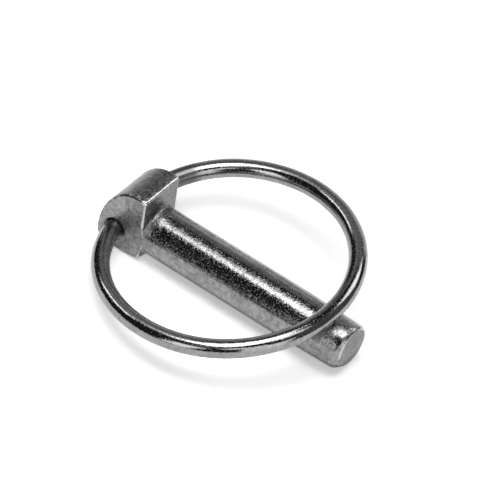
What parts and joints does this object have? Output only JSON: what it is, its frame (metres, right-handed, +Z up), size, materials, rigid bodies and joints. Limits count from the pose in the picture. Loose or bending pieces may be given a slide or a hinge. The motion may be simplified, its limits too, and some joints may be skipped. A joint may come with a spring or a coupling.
{
  "type": "lynch pin",
  "caption": "Plain round securing pin with a D-shaped head, and a sprung wire ring hinged in the head that snaps down over the shank.",
  "frame": {"origin": "on the shank's axis where the straight shank begins, just past the fillet under the head", "axes": "+X along the shank towards its tip, +Z up through the head's crown, the closed ring lying across the top of the shank; the pin lies level on its flat underside"},
  "size_m": [0.0557, 0.0514, 0.0149],
  "materials": {
    "pin_steel": "satin zinc plate over forged and turned steel, a little grainy and knocked about at the tip",
    "ring_wire": "bright zinc plate on drawn spring wire"
  },
  "bodies": {
    "pin": {"pin_body": "pin_steel"},
    "ring": {"spring_ring": "ring_wire"}
  },
  "joints": [
    {"name": "ring_swing", "type": "hinge", "parent": "pin", "child": "ring", "pos_m": [-0.007, 0, 0.0005], "axis": [0, -0.9863, -0.165], "range_deg": [0, 174]}
  ]
}
